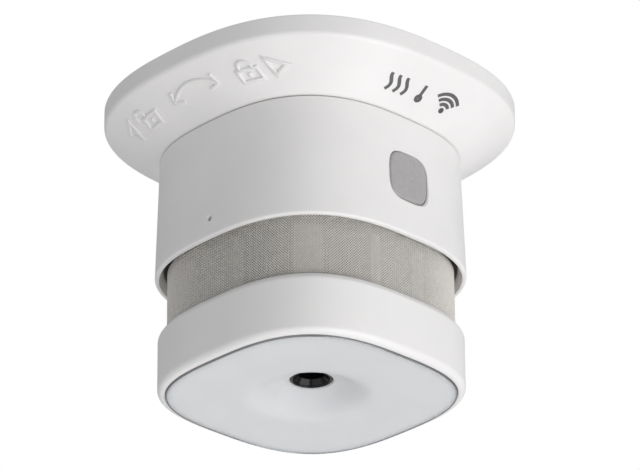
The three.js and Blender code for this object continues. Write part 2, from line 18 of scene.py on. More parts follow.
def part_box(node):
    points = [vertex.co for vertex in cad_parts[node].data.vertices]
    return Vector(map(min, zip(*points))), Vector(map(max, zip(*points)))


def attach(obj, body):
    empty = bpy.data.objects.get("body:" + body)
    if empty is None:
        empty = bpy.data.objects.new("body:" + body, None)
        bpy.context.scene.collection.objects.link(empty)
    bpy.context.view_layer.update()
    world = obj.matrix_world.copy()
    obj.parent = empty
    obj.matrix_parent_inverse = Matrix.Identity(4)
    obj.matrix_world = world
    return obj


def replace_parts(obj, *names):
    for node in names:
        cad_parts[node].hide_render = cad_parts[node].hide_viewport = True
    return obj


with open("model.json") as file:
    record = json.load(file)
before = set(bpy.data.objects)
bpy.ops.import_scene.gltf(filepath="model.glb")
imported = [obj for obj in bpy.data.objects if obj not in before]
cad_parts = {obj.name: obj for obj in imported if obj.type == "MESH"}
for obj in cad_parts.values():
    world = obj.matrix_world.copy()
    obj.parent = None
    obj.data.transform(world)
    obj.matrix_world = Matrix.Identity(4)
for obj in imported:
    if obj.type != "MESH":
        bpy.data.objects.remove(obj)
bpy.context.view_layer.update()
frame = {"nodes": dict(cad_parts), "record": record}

MM = 0.001
SIDES = 192  # facets round a squircle shell
ROUND = 96  # facets round a small turned piece
SHARP = 32  # degrees: edges that bend more than this stay sharp
TOP, BOTTOM, HALF = "top", "bottom", "half"


def cad(node):
    """A CAD node's top and bottom height and its half-width, in millimetres."""
    low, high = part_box(node)
    return {TOP: high.z / MM, BOTTOM: low.z / MM, HALF: high.x / MM}


# ---------------------------------------------------------------- camera, stage and light

VIEW = {"azimuth": -44.026, "elevation": -25.48, "distance": 0.69153, "roll": -0.456, "lens": 250.44}
ORBIT_CENTRE = Vector((0, 0, -0.026))  # on the axis, just below the middle of the detector's height
AIM = Vector((-0.00013, -0.00228, -0.02237))  # the point the camera looks at


def make_camera():
    """A long lens, below the detector and off the corner between its button's face and its pinhole's."""
    azimuth, elevation = math.radians(VIEW["azimuth"]), math.radians(VIEW["elevation"])
    away = Vector((
        math.sin(azimuth) * math.cos(elevation),
        -math.cos(azimuth) * math.cos(elevation),
        math.sin(elevation),
    ))
    data = bpy.data.cameras.new("camera")
    data.lens = VIEW["lens"]
    data.sensor_width = 36
    data.clip_start = 0.01
    camera = bpy.data.objects.new("camera", data)
    camera.location = ORBIT_CENTRE + away * VIEW["distance"]
    facing = (AIM - camera.location).to_track_quat("-Z", "Y")
    camera.rotation_mode = "QUATERNION"
    camera.rotation_quaternion = facing @ Quaternion((0, 0, 1), math.radians(VIEW["roll"]))
    bpy.context.scene.collection.objects.link(camera)
    bpy.context.scene.camera = camera


def area_light(name, direction, power):
    """A square soft light, shining at the detector from a direction."""
    data = bpy.data.lights.new(name, "AREA")
    data.shape = "SQUARE"
    data.size = LIGHT_SIZE
    data.energy = power
    light = bpy.data.objects.new(name, data)
    light.location = ORBIT_CENTRE + Vector(direction).normalized() * LIGHT_DISTANCE
    light.rotation_euler = (ORBIT_CENTRE - light.location).to_track_quat("-Z", "Y").to_euler()
    bpy.context.scene.collection.objects.link(light)


def make_world():
    """White behind the detector, and a softer even light on it."""
    world = bpy.data.worlds.new("studio")
    world.use_nodes = True
    nodes, links = world.node_tree.nodes, world.node_tree.links
    nodes.clear()
    output = nodes.new("ShaderNodeOutputWorld")
    seen, lit = nodes.new("ShaderNodeBackground"), nodes.new("ShaderNodeBackground")
    seen.inputs["Color"].default_value = (1, 1, 1, 1)
    seen.inputs["Strength"].default_value = 1
    lit.inputs["Color"].default_value = SKY_COLOUR
    lit.inputs["Strength"].default_value = SKY_STRENGTH
    mix, path = nodes.new("ShaderNodeMixShader"), nodes.new("ShaderNodeLightPath")
    links.new(path.outputs["Is Camera Ray"], mix.inputs["Fac"])
    links.new(lit.outputs[0], mix.inputs[1])
    links.new(seen.outputs[0], mix.inputs[2])
    links.new(mix.outputs[0], output.inputs["Surface"])
    bpy.context.scene.world = world


def make_floor():
    """A plain pale floor, well below the hanging detector."""
    height, half = -0.95, 4
    mesh = bpy.data.meshes.new("floor")
    corners = [(x * half, y * half, height) for x, y in ((-1, -1), (1, -1), (1, 1), (-1, 1))]
    mesh.from_pydata(corners, [], [(0, 1, 2, 3)])
    floor = bpy.data.objects.new("floor", mesh)
    bpy.context.scene.collection.objects.link(floor)
    floor.data.materials.append(moulded("floor_pale", (0.86, 0.86, 0.86), 0.7, mottle=6, grain=60))


SKY_COLOUR = (0.98, 0.99, 1, 1)
SKY_STRENGTH = 0.39
LIGHT_SIZE = 1.0
LIGHT_DISTANCE = 1.0
LIGHTS = [  # name, direction from the detector, power in watts
    ("front", (0.12, -0.78, -0.61), 8.2),
    ("under_back", (0.45, 0.55, -0.7), 1.6),
    ("under_left", (-0.75, 0.0, -0.66), 2.4),
    ("above_right", (0.5, -0.8, 0.4), 1.6),
]


def make_studio():
    """The world, the lights, and colours shown as they are."""
    bpy.context.scene.view_settings.view_transform = "Standard"
    make_world()
    for name, direction, power in LIGHTS:
        area_light(name, direction, power)


# ---------------------------------------------------------------- materials

GRAIN = 5200  # features of spark-eroded grain per metre
GRAIN_DEPTH = 0.000004
MARK_DEPTH = 0.000002  # of the fine marks on metal
# Above this height the mesh cage is painted near black: painted shade under the housing's edge.
CAGE_SHADE_HEIGHT = -0.0301  # the height where the mesh cage goes from dark to grey


def material(name):
    """A new material, its node tree and its shader."""
    made = bpy.data.materials.new(name)
    made.use_nodes = True
    tree = made.node_tree
    return made, tree, tree.nodes["Principled BSDF"]


def noise(tree, scale, detail=3.0):
    """Noise in the frame's own metres: scale is features per metre."""
    place = tree.nodes.new("ShaderNodeTexCoord")
    texture = tree.nodes.new("ShaderNodeTexNoise")
    texture.inputs["Scale"].default_value = scale
    texture.inputs["Detail"].default_value = detail
    tree.links.new(place.outputs["Object"], texture.inputs["Vector"])
    return texture.outputs["Fac"]


def spread(tree, value, low, high):
    """A 0.3 to 0.7 noise value taken to low to high."""
    ranged = tree.nodes.new("ShaderNodeMapRange")
    ranged.inputs["From Min"].default_value = 0.3
    ranged.inputs["From Max"].default_value = 0.7
    ranged.inputs["To Min"].default_value = low
    ranged.inputs["To Max"].default_value = high
    tree.links.new(value, ranged.inputs["Value"])
    return ranged.outputs["Result"]


def between(tree, value, first, second):
    """A colour that goes from first to second as value goes from 0 to 1."""
    ramp = tree.nodes.new("ShaderNodeValToRGB")
    ramp.color_ramp.elements[0].color = (*first, 1)
    ramp.color_ramp.elements[1].color = (*second, 1)
    tree.links.new(value, ramp.inputs["Fac"])
    return ramp.outputs["Color"]


def roughen(tree, shader, height, depth):
    """Fine bumps of a depth in metres."""
    bump = tree.nodes.new("ShaderNodeBump")
    bump.inputs["Distance"].default_value = depth
    bump.inputs["Strength"].default_value = 1
    tree.links.new(height, bump.inputs["Height"])
    tree.links.new(bump.outputs["Normal"], shader.inputs["Normal"])


def shade(colour, factor):
    """The colour, lighter or darker by a factor."""
    return tuple(min(1.0, channel * factor) for channel in colour)


def moulded(name, colour, roughness, mottle=90, grain=GRAIN, depth=GRAIN_DEPTH, subsurface=0.0, vary=0.02,
            shine=0.5, seep=0.0012):
    """Moulded plastic: faint uneven tone, fine spark-eroded grain and slightly uneven gloss. mottle and grain
    are features per metre, and seep is how far light spreads inside it, in metres."""
    made, tree, shader = material(name)
    tone = spread(tree, noise(tree, mottle), 0, 1)
    colours = between(tree, tone, shade(colour, 1 - vary), shade(colour, 1 + vary))
    tree.links.new(colours, shader.inputs["Base Color"])
    gloss = spread(tree, noise(tree, mottle * 6), roughness - 0.05, roughness + 0.05)
    tree.links.new(gloss, shader.inputs["Roughness"])
    roughen(tree, shader, noise(tree, grain, 2.0), depth)
    shader.inputs["Specular IOR Level"].default_value = shine
    if subsurface:
        shader.inputs["Subsurface Weight"].default_value = subsurface
        shader.inputs["Subsurface Radius"].default_value = (1, 0.95, 0.9)
        shader.inputs["Subsurface Scale"].default_value = seep
    return made


def painted_shade_above_height(name, upper, lower, height):
    """Moulded plastic of two colours, which meet at a height in metres: the upper colour is painted shade,
    and the lower is the plastic's own.
    """
    blend = 0.0001
    made, tree, shader = material(name)
    place, parts = tree.nodes.new("ShaderNodeTexCoord"), tree.nodes.new("ShaderNodeSeparateXYZ")
    tree.links.new(place.outputs["Object"], parts.inputs["Vector"])
    above = tree.nodes.new("ShaderNodeMapRange")
    above.inputs["From Min"].default_value = height - blend
    above.inputs["From Max"].default_value = height
    tree.links.new(parts.outputs["Z"], above.inputs["Value"])
    tree.links.new(between(tree, above.outputs["Result"], lower, upper), shader.inputs["Base Color"])
    tree.links.new(spread(tree, noise(tree, 600), 0.5, 0.65), shader.inputs["Roughness"])
    roughen(tree, shader, noise(tree, GRAIN, 2.0), GRAIN_DEPTH)
    return made


def metal(name, colour, roughness, grain=2500, vary=0.08):
    """Bare metal: uneven tone and gloss, and fine marks."""
    made, tree, shader = material(name)
    shader.inputs["Metallic"].default_value = 1
    marks = noise(tree, grain, 4.0)
    tone = between(tree, spread(tree, marks, 0, 1), shade(colour, 1 - vary), shade(colour, 1 + vary))
    tree.links.new(tone, shader.inputs["Base Color"])
    tree.links.new(spread(tree, marks, roughness * 0.8, roughness * 1.25), shader.inputs["Roughness"])
    roughen(tree, shader, marks, MARK_DEPTH)
    return made


def circuit_board(name):
    """Solder-masked laminate: tracks a shade lighter than the mask, and a fine grain."""
    made, tree, shader = material(name)
    place = tree.nodes.new("ShaderNodeTexCoord")
    tracks = tree.nodes.new("ShaderNodeTexBrick")
    tracks.inputs["Scale"].default_value = 260
    tracks.inputs["Mortar Size"].default_value = 0.06
    tracks.inputs["Color1"].default_value = (0.004, 0.04, 0.02, 1)
    tracks.inputs["Color2"].default_value = (0.005, 0.05, 0.026, 1)
    tracks.inputs["Mortar"].default_value = (0.012, 0.09, 0.045, 1)
    tree.links.new(place.outputs["Object"], tracks.inputs["Vector"])
    tree.links.new(tracks.outputs["Color"], shader.inputs["Base Color"])
    tree.links.new(spread(tree, noise(tree, 900), 0.28, 0.42), shader.inputs["Roughness"])
    roughen(tree, shader, noise(tree, 3000), 0.000006)
    return made


def clear_epoxy(name):
    """The lamp's clear, faintly blue resin."""
    made, tree, shader = material(name)
    shader.inputs["Transmission Weight"].default_value = 0.9
    shader.inputs["IOR"].default_value = 1.5
    tone = between(tree, noise(tree, 300), (0.78, 0.88, 0.92), (0.86, 0.94, 0.97))
    tree.links.new(tone, shader.inputs["Base Color"])
    tree.links.new(spread(tree, noise(tree, 800), 0.05, 0.14), shader.inputs["Roughness"])
    return made


MATERIALS = {}


def make_materials():
    """A finish for each of the record's slots, and for the mesh cage with painted shade on its top ring, the
    port ring and the print.
    """
    MATERIALS.update({
        "white_plastic": moulded("white_plastic", (0.85, 0.835, 0.83), 0.42, subsurface=0.15),
        "inner_plastic": moulded("inner_plastic", (0.72, 0.71, 0.68), 0.55, vary=0.04),
        # Painted shade: the mesh cage is near black above a height, for the shade under the housing's edge,
        # and grey below it.
        "cage_grey_painted_shade": painted_shade_above_height("cage_grey_painted_shade", (0.02, 0.018, 0.016), (0.42, 0.41, 0.39), CAGE_SHADE_HEIGHT),
        "black_plastic": moulded("black_plastic", (0.012, 0.012, 0.013), 0.38, depth=0.00001, vary=0.2),
        "port_black": moulded("port_black", (0.004, 0.004, 0.0045), 0.18,
                              depth=0.000001, vary=0.1, shine=0.25),
        "grey_button": moulded("grey_button", (0.39, 0.375, 0.38), 0.28, depth=0.000002, subsurface=0.3),
        "frosted_lens": moulded("frosted_lens", (0.785, 0.787, 0.797), 0.45,
                                grain=3600, subsurface=0.9, seep=0.004),
        # The trim's chrome is darkened well below bright metal: painted shade and painted dark reflection for
        # the thin dark line between lens and cap.
        "chrome_trim": metal("chrome_trim", (0.34, 0.345, 0.36), 0.2, vary=0.02),
        "steel_mesh": metal("steel_mesh", (0.84, 0.82, 0.79), 0.65, grain=1800),
        "steel": metal("steel", (0.58, 0.58, 0.59), 0.32),
        "contact_metal": metal("contact_metal", (0.75, 0.66, 0.45), 0.3),
        "copper_wire": metal("copper_wire", (0.72, 0.36, 0.2), 0.25),
        "circuit_board": circuit_board("circuit_board"),
        "battery_wrap": moulded("battery_wrap", (0.03, 0.06, 0.2), 0.22, vary=0.08),
        "clear_epoxy": clear_epoxy("clear_epoxy"),
        "print_ink": moulded("print_ink", (0.115, 0.11, 0.115), 0.5, vary=0.1),
    })


# ---------------------------------------------------------------- mesh making


def arc(w, z, radius, start, end, steps):
    """Points of an arc about (w, z), its angles in degrees from the w direction."""
    angles = np.radians(np.linspace(start, end, steps + 1))
    return [(w + radius * math.cos(a), z + radius * math.sin(a)) for a in angles]


def reach(angle, power):
    """How far a squircle of half-width 1 reaches at an angle."""
    return (np.abs(np.cos(angle)) ** power + np.abs(np.sin(angle)) ** power) ** (-1 / power)


def add_piece(name, points, faces, slot, body, sharp=SHARP, finish=None):
    """A mesh piece of the detector, in millimetres, with its faces pointing out, its finish and its body.
    Its finish is its slot's, unless another is named. A piece with no body is a cutter."""
    mesh = bpy.data.meshes.new(name)
    mesh.from_pydata([tuple(c * MM for c in p) for p in points], [], faces)
    tidy = bmesh.new()
    tidy.from_mesh(mesh)
    bmesh.ops.recalc_face_normals(tidy, faces=tidy.faces)
    tidy.to_mesh(mesh)
    tidy.free()
    mesh.materials.append(MATERIALS[finish or slot])
    piece = bpy.data.objects.new(name, mesh)
    bpy.context.scene.collection.objects.link(piece)
    soften(piece, sharp)
    if body:
        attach(piece, body)
    return piece


def soften(piece, sharp=SHARP):
    """Smooth shading, with edges that bend more than this angle kept sharp."""
    piece.data.polygons.foreach_set("use_smooth", [True] * len(piece.data.polygons))
    piece.data.set_sharp_from_angle(angle=math.radians(sharp))
    piece.data.update()


def followed(line, closed):
    """Each item of a line with the one after it, and the last with the first where the line is closed."""
    return zip(line, line[1:] + line[:1] if closed else line[1:])


def towards(a, b, share):
    """The point a share of the way from a to b."""
    a, b = np.array(a), np.array(b)
    return tuple(a + (b - a) * share)


def held(profile, closed, hold=0.06, long_run=0.6):
    """The profile with a point close to each end of its long runs, which keeps their shading flat."""
    out = []
    for a, b in followed(profile, closed):
        out.append(tuple(a))
        length = math.dist(a[:2], b[:2])
        if length >= long_run:
            near_ends = [towards(a, b, share) for share in (hold / length, 1 - hold / length)]
            out += [point for point in near_ends if point[0] > hold]
    return out if closed else out + [profile[-1]]


def turned_mesh(profile, power=2.0, sides=SIDES):
    """Points and faces of a squircle body turned about Z from a profile of (w, z) or (w, z, n), where n is
    power if it isn't given. The profile starts and ends on the axis, or closes on itself."""
    closed = profile[0][0] > 0
    profile = held([(*point, power)[:3] for point in profile], closed)
    angles = np.arange(sides) * 2 * math.pi / sides
    points, rings = [], []
    for w, z, own in profile:
        start = len(points)
        if w == 0:
            points.append((0.0, 0.0, z))
            rings.append([start] * sides)
            continue
        reaches = w * reach(angles, own)
        points += [(r * math.cos(a), r * math.sin(a), z) for r, a in zip(reaches, angles)]
        rings.append(range(start, start + sides))
    faces = []
    for above, below in followed(rings, closed):
        for i in range(sides):
            j = (i + 1) % sides
            corners = [above[i], above[j], below[j], below[i]]
            faces.append(tuple(dict.fromkeys(corners)))
    return points, faces


def turned(name, profile, slot, body, power=2.0, sides=SIDES, finish=None):
    """A piece turned about Z from its profile."""
    return add_piece(name, *turned_mesh(profile, power, sides), slot, body, finish=finish)


def cut(piece, *cutters):
    """Cuts each cutter's shape out of a piece."""
    for cutter in cutters:
        modifier = piece.modifiers.new("cut", "BOOLEAN")
        modifier.object = cutter
        modifier.operation = "DIFFERENCE"
        modifier.solver = "EXACT"
    bpy.context.view_layer.update()
    result = bpy.data.meshes.new_from_object(piece.evaluated_get(bpy.context.evaluated_depsgraph_get()))
    piece.modifiers.clear()
    piece.data = result
    for cutter in cutters:
        bpy.data.objects.remove(cutter)
    soften(piece)


def gathered(parts):
    """Several (points, faces) as one."""
    points, faces = [], []
    for more_points, more_faces in parts:
        start = len(points)
        points += list(more_points)
        faces += [tuple(start + i for i in face) for face in more_faces]
    return points, faces


def placed(part, matrix):
    """A part's points and faces, moved by a matrix."""
    points, faces = part
    return [tuple(matrix @ Vector(p)) for p in points], faces


FACING_FRONT = Matrix.Rotation(math.pi / 2, 4, "X")  # takes +Z to -Y
FACING_LEFT = Matrix.Rotation(-math.pi / 2, 4, "Y")  # takes +Z to -X


def spun(part, degrees):
    """A part's points and faces, turned about Z."""
    return placed(part, Matrix.Rotation(math.radians(degrees), 4, "Z"))


def sector(inner, outer, start, end, low, high, steps=10):
    """A slice of a ring between two angles in degrees."""
    angles = np.radians(np.linspace(start, end, steps + 1))
    corners = [(r, z) for r in (inner, outer) for z in (low, high)]
    points = [(r * math.cos(a), r * math.sin(a), z) for a in angles for r, z in corners]
    faces = [(0, 1, 3, 2), tuple(4 * steps + i for i in (0, 2, 3, 1))]
    for i in range(steps):
        a, b = 4 * i, 4 * i + 4
        faces += [(a + p, a + q, b + q, b + p) for p, q in ((0, 2), (2, 3), (3, 1), (1, 0))]
    return points, faces


def bevelled(piece, width, segments=2, angle=30):
    """Rounds a piece's edges that bend more than an angle in degrees."""
    modifier = piece.modifiers.new("bevel", "BEVEL")
    modifier.width = width * MM
    modifier.segments = segments
    modifier.limit_method = "ANGLE"
    modifier.angle_limit = math.radians(angle)


# ---------------------------------------------------------------- mounting bracket

BRACKET = cad("mounting_bracket")
RIM = {"n": 2.56, "drop": 2.75, "arc": 1.1, "slope": 35.1}
LIP = {"n": 2.69, "arc": 1.6, "inner": 20.2}
PLATE = {"thick": 2.0, "bore": 20.0, "edge": 0.2}
GROOVE = {"inner": 22.7, "outer": 28.1, "foot_w": 23.2, "foot": -5.9, "shoulder": -1.9}
SLOT = {"x": 12.5, "reach": 3.0, "radius": 2.3, "top": 1.0, "bottom": -3.2}
RIBS = {"count": 16, "half": 0.55, "overlap": 0.4, "sink": 0.5, "top": -0.15}
LEDGE = {"inner": 17.9, "outer": 20.4, "half_angle": 11, "bottom": -8.2, "top": -6.6, "bevel": 0.15}
LEDGE_STOP = {"angle": 1.1, "bottom": -6.8, "top": -4.6}
LEDGE_PLACES = (90, 225, 315)  # degrees, with unequal gaps so that the head goes on one way only


def skirt_line():
    """The bracket's outside from its rim to its lip's foot, as (w, z, n)."""
    slope, turn = math.radians(RIM["slope"]), 90 - RIM["slope"]
    rim = arc(BRACKET[HALF] - RIM["arc"], -RIM["drop"], RIM["arc"], 0, -turn, 10)
    lip_z = BRACKET[BOTTOM] + LIP["arc"] * (1 - math.cos(slope))
    lip_w = rim[-1][0] - (rim[-1][1] - lip_z) / math.tan(slope)
    centre_w = lip_w - LIP["arc"] * math.sin(slope)
    lip = arc(centre_w, BRACKET[BOTTOM] + LIP["arc"], LIP["arc"], -turn, -90, 6)
    cone = [towards(rim[-1], lip[0], share) for share in (0.25, 0.5, 0.75)]
    line = rim + cone + lip
    blend = [(BRACKET[HALF] - w) / (BRACKET[HALF] - lip[-1][0]) for w, _ in line]
    return [(w, z, RIM["n"] + (LIP["n"] - RIM["n"]) * b) for (w, z), b in zip(line, blend)]


SKIRT = skirt_line()


def prism(outline, low, high):
    """An outline of (x, y) points, drawn up from one height to another."""
    points = [(x, y, z) for z in (low, high) for x, y in outline]
    count = len(outline)
    faces = [tuple(range(count)), tuple(range(count, 2 * count))]
    faces += [(i, (i + 1) % count, count + (i + 1) % count, count + i) for i in range(count)]
    return points, faces


def bracket_shell():
    """The ceiling plate with its two screw slots, the groove behind the skirt, and the flared skirt."""
    n, edge, chamfer = RIM["n"], PLATE["edge"], 0.06
    profile = [
        (0, 0), (GROOVE["inner"] - edge, 0, n), (GROOVE["inner"], -edge, n),
        (GROOVE["foot_w"], GROOVE["foot"], n), (GROOVE["outer"], GROOVE["shoulder"], n),
        (GROOVE["outer"], -edge, n), (GROOVE["outer"] + edge, 0, n),
        (BRACKET[HALF] - edge, 0, n), (BRACKET[HALF] - chamfer, -chamfer, n), (BRACKET[HALF], -edge, n),
        *SKIRT, (LIP["inner"], BRACKET[BOTTOM], 2), (PLATE["bore"], BRACKET[BOTTOM] + edge, 2),
        (PLATE["bore"], -PLATE["thick"] - edge, 2), (PLATE["bore"] - edge, -PLATE["thick"], 2),
        (0, -PLATE["thick"]),
    ]
    shell = turned("bracket_shell", profile, "white_plastic", "bracket")
    ends = [(SLOT["reach"], 0), (-SLOT["reach"], 180)]
    outline = [point for y, start in ends for point in arc(0, y, SLOT["radius"], start, start + 180, 20)]
    cutters = []
    for x in (-SLOT["x"], SLOT["x"]):
        slot = placed(prism(outline, SLOT["bottom"], SLOT["top"]), Matrix.Translation((x, 0, 0)))
        cutters.append(add_piece("slot_cutter", *slot, "white_plastic", None))
    cut(shell, *cutters)
    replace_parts(shell, "mounting_bracket")


def bracket_ribs():
    """Ribs across the groove behind the skirt, and the ledges and stops that hold the head's lugs."""
    overlap, outer = RIBS["overlap"], GROOVE["outer"] + RIBS["sink"]
    outline = [
        (GROOVE["inner"] - overlap, RIBS["top"]), (GROOVE["foot_w"] - overlap, GROOVE["foot"] - 0.3),
        (outer, GROOVE["shoulder"] - 0.1), (outer, RIBS["top"]),
    ]
    ribs = []
    for i in range(RIBS["count"]):
        degrees = (i + 0.5) * 360 / RIBS["count"]
        stretch = float(reach(math.radians(degrees), RIM["n"]))
        points = [(w * stretch, y, z) for y in (-RIBS["half"], RIBS["half"]) for w, z in outline]
        faces = [(0, 1, 2, 3), (7, 6, 5, 4)] + [(k, k + 4, (k + 1) % 4 + 4, (k + 1) % 4) for k in range(4)]
        ribs.append(spun((points, faces), degrees))
    add_piece("bracket_ribs", *gathered(ribs), "white_plastic", "bracket")
    ledges = []
    inner, outer, half_angle = LEDGE["inner"], LEDGE["outer"], LEDGE["half_angle"]
    for place in LEDGE_PLACES:
        end = place + half_angle
        ledges.append(sector(inner, outer, place - half_angle, end, LEDGE["bottom"], LEDGE["top"]))
        ledges.append(sector(inner, outer, end - LEDGE_STOP["angle"], end, LEDGE_STOP["bottom"],
                             LEDGE_STOP["top"], 2))
    bevelled(add_piece("bracket_ledges", *gathered(ledges), "white_plastic", "bracket"), LEDGE["bevel"])


def skirt_point(across, down, height, face):
    """A point on the skirt: across its face from the middle, down its slope as a share from rim to lip, and
    height above its surface. face is the angle of the face's outward normal from +X, in degrees."""
    widths, heights, powers = zip(*SKIRT)
    z = heights[0] + (heights[-1] - heights[0]) * down
    depths = [-h for h in heights]
    w = float(np.interp(-z, depths, widths))
    n = float(np.interp(-z, depths, powers))
    depth = (w**n - abs(across) ** n) ** (1 / n)
    slope = math.radians(RIM["slope"])
    lean = (abs(across) / depth) ** (n - 1) * (1 if across > 0 else -1)
    normal = Vector((math.sin(slope), math.sin(slope) * lean, -math.cos(slope)))
    normal.normalize()
    point = Vector((depth, across, z)) + normal * height
    return Matrix.Rotation(math.radians(face), 3, "Z") @ point


def stroke(points, width, closed=False):
    """The left and right edges of a flat band of even width along a line of (u, v) points."""
    count = len(points)
    left, right = [], []
    for i, p in enumerate(points):
        before = points[i - 1] if closed or i else p
        after = points[(i + 1) % count] if closed or i < count - 1 else p
        along = Vector(after) - Vector(before)
        first, second = Vector(p) - Vector(before), Vector(after) - Vector(p)
        side = Vector((-along.y, along.x)).normalized()
        bend = first.angle(second) / 2 if first.length and second.length else 0
        offset = side * (width / 2) / max(math.cos(bend), 0.5)
        left.append(Vector(p) + offset)
        right.append(Vector(p) - offset)
    return left, right


def dense(points, closed, step=0.35):
    """The same line with points at most a step apart."""
    out = []
    for a, b in followed(points, closed):
        parts = max(1, math.ceil(math.dist(a, b) / step))
        out += [towards(a, b, i / parts) for i in range(parts)]
    return out if closed else out + [points[-1]]


def relief(lines, form):
    """Raised strokes on the skirt. lines are (points, closed) in millimetres, u across the face and v up
    from the form's middle line. Each stroke has a flat crown and chamfered shoulders."""
    height, sink, crown = form["height"], form["sink"], 1 - form["shoulder"]
    flank = height * 0.35  # where a shoulder starts
    section = [(-1, -sink), (-1, flank), (-crown, height), (crown, height), (1, flank), (1, -sink)]
    slope_length = math.dist(SKIRT[0][:2], SKIRT[-1][:2])
    parts = []
    for points, closed in lines:
        left, right = stroke(dense(points, closed), form["width"], closed)
        rings = []
        for l, r in zip(left, right):
            centre, half = (l + r) / 2, (r - l) / 2
            rings.append([(centre + half * s, h) for s, h in section])
        mapped = []
        for place, rise in [point for ring in rings for point in ring]:
            down = form["middle"] - place.y / slope_length
            mapped.append(tuple(skirt_point(place.x, down, rise, form["face"])))
        size, count = len(section), len(rings)
        faces = []
        for i in range(count if closed else count - 1):
            a, b = i * size, ((i + 1) % count) * size
            faces += [(a + k, a + (k + 1) % size, b + (k + 1) % size, b + k) for k in range(size)]
        if not closed:
            faces += [tuple(range(size)), tuple((count - 1) * size + k for k in range(size))]
        parts.append((mapped, faces))
    return gathered(parts)


RAISED = {"face": 180, "middle": 0.54, "width": 0.66, "height": 0.3, "sink": 0.25, "shoulder": 0.35}
PRINTED = {"face": -90, "middle": 0.6, "width": 0.6, "height": 0.012, "sink": 0.1, "shoulder": 0.1}
SYMBOL_SHARP = 60
ARROW = {"left": -16.3, "right": 17.8, "left_back": -14.2, "right_back": 15.5, "half": 1.5}
PADLOCK = {"open_u": -9.3, "shut_u": 12.0, "half": 1.6, "bottom": -1.7, "lid": 0.35, "hasp": 0.75}
SWEEP = {"u": 1.7, "top": 1.65, "radius": 6.6, "half_turn": 42}
HEAT = {"u": -7.1, "pitch": 1.55, "sway": 0.4, "bottom": -1.45, "height": 2.9}
THERMOMETER = {"u": -0.6, "bottom": -1.0, "top": 1.45, "bulb_v": -0.95, "bulb": 0.42}
RADIO = {"u": 4.7, "v": -1.25, "rings": (1.2, 2.1, 3.0), "dot_v": -1.15, "dot": 0.2}


def padlock(u, swung):
    """A padlock outline with its body centred at u, its shackle shut, or swung over to the body's left."""
    half, bottom, lid = PADLOCK["half"], PADLOCK["bottom"], PADLOCK["lid"]
    body = [(u - half, bottom), (u + half, bottom), (u + half, lid), (u - half, lid)]
    centre, radius = (u - 2.0, 1.05) if swung else (u, 1.0)
    bow = arc(centre, PADLOCK["hasp"], radius, 0, 180, 14)
    shackle = [(centre + radius, lid), *bow, (centre - radius, lid)]
    keyhole = [(u, -1.05), (u, -0.35)]
    return [(body, True), (shackle, False), (keyhole, False)]


def sweep_arrow():
    """An arched arrow with a head at both ends."""
    u, radius, half_turn = SWEEP["u"], SWEEP["radius"], SWEEP["half_turn"]
    v = SWEEP["top"] - radius
    lines = [(arc(u, v, radius, 90 + half_turn, 90 - half_turn, 28), False)]
    for side in (-1, 1):
        tip_u = u + side * radius * math.sin(math.radians(half_turn))
        tip_v = v + radius * math.cos(math.radians(half_turn))
        head = [(-0.1, 1.55), (0.35, -0.25), (-1.5, -0.75)]  # from the tip, u away from the arch's middle
        lines.append(([(tip_u + side * du, tip_v + dv) for du, dv in head], False))
    return lines


def turn_symbols():
    """Raised symbols on the left face: an arrow at each end, an open padlock, a two-headed turning arrow
    and a shut padlock. u runs towards -Y, which is to the right for someone who looks at the face."""
    arrows = []
    for tip, back in ((ARROW["left"], ARROW["left_back"]), (ARROW["right"], ARROW["right_back"])):
        arrows.append(([(tip, 0), (back, ARROW["half"]), (back, -ARROW["half"])], True))
    padlocks = [padlock(PADLOCK["open_u"], True), padlock(PADLOCK["shut_u"], False)]
    return [arrows[0], *padlocks[0], *sweep_arrow(), *padlocks[1], arrows[1]]


def heat_symbols():
    """Printed symbols on the front face: rising heat, a thermometer and radio waves."""
    lines = []
    for i in range(3):
        u = HEAT["u"] + i * HEAT["pitch"]
        wave = [(u + HEAT["sway"] * math.sin(t * 5), HEAT["bottom"] + HEAT["height"] * t)
                for t in np.linspace(0, 1, 16)]
        lines.append((wave, False))
    u = THERMOMETER["u"]
    lines.append(([(u, THERMOMETER["bottom"]), (u, THERMOMETER["top"])], False))
    lines.append((arc(u, THERMOMETER["bulb_v"], THERMOMETER["bulb"], 0, 345, 16), True))
    lines += [(arc(RADIO["u"], RADIO["v"], radius, 40, 140, 16), False) for radius in RADIO["rings"]]
    lines.append((arc(RADIO["u"], RADIO["dot_v"], RADIO["dot"], 0, 340, 12), True))
    return lines


def bracket_marks():
    """The raised symbols on one face of the skirt and the printed ones on the next."""
    raised = relief(turn_symbols(), RAISED)
    add_piece("turn_symbols", *raised, "white_plastic", "bracket", SYMBOL_SHARP)
    printed = relief(heat_symbols(), PRINTED)
    add_piece("printed_symbols", *printed, "black_plastic", "bracket", SYMBOL_SHARP, "print_ink")


# ---------------------------------------------------------------- upper housing

HOUSING = cad("upper_housing")
WALL = {"top_n": 2.68, "bottom_n": 2.61, "top_w": 21.575, "top_arc": 0.22, "edge": 0.36}
WALL_INSIDE = {"n": 2.7, "top_w": 20.07, "bottom_w": 20.85, "mouth_w": 21.5, "mouth": 1.4}
PARTING_RISE = 0.14  # how far the wall's top is above the solid's, which narrows the gap under the bracket
BUTTON = {"x": -0.1, "z": -19.55, "half": 4.0, "n": 3.4, "front": -21.88}
BUTTON_CROWN = ((0, 0.1), (0.3, 0.097), (0.6, 0.075), (0.85, 0.03))  # shares of its half-width, and heights
BUTTON_FLANGE = {"wider": 0.75, "front": -2.05, "back": -2.65, "stem": 1.3, "stem_back": -3.3}
# The window and the pinhole are cut between distances from the head's axis.
WINDOW = {"gap": 0.09, "deep": 18, "flat": 21.7, "edge": 21.9, "edge_wider": 0.16, "past": 23.2,
          "past_wider": 1.2}
PINHOLE = {"y": -0.8, "z": -26.3, "r": 0.42, "deep": 19, "flare": 0.9, "flare_from": 22.02}


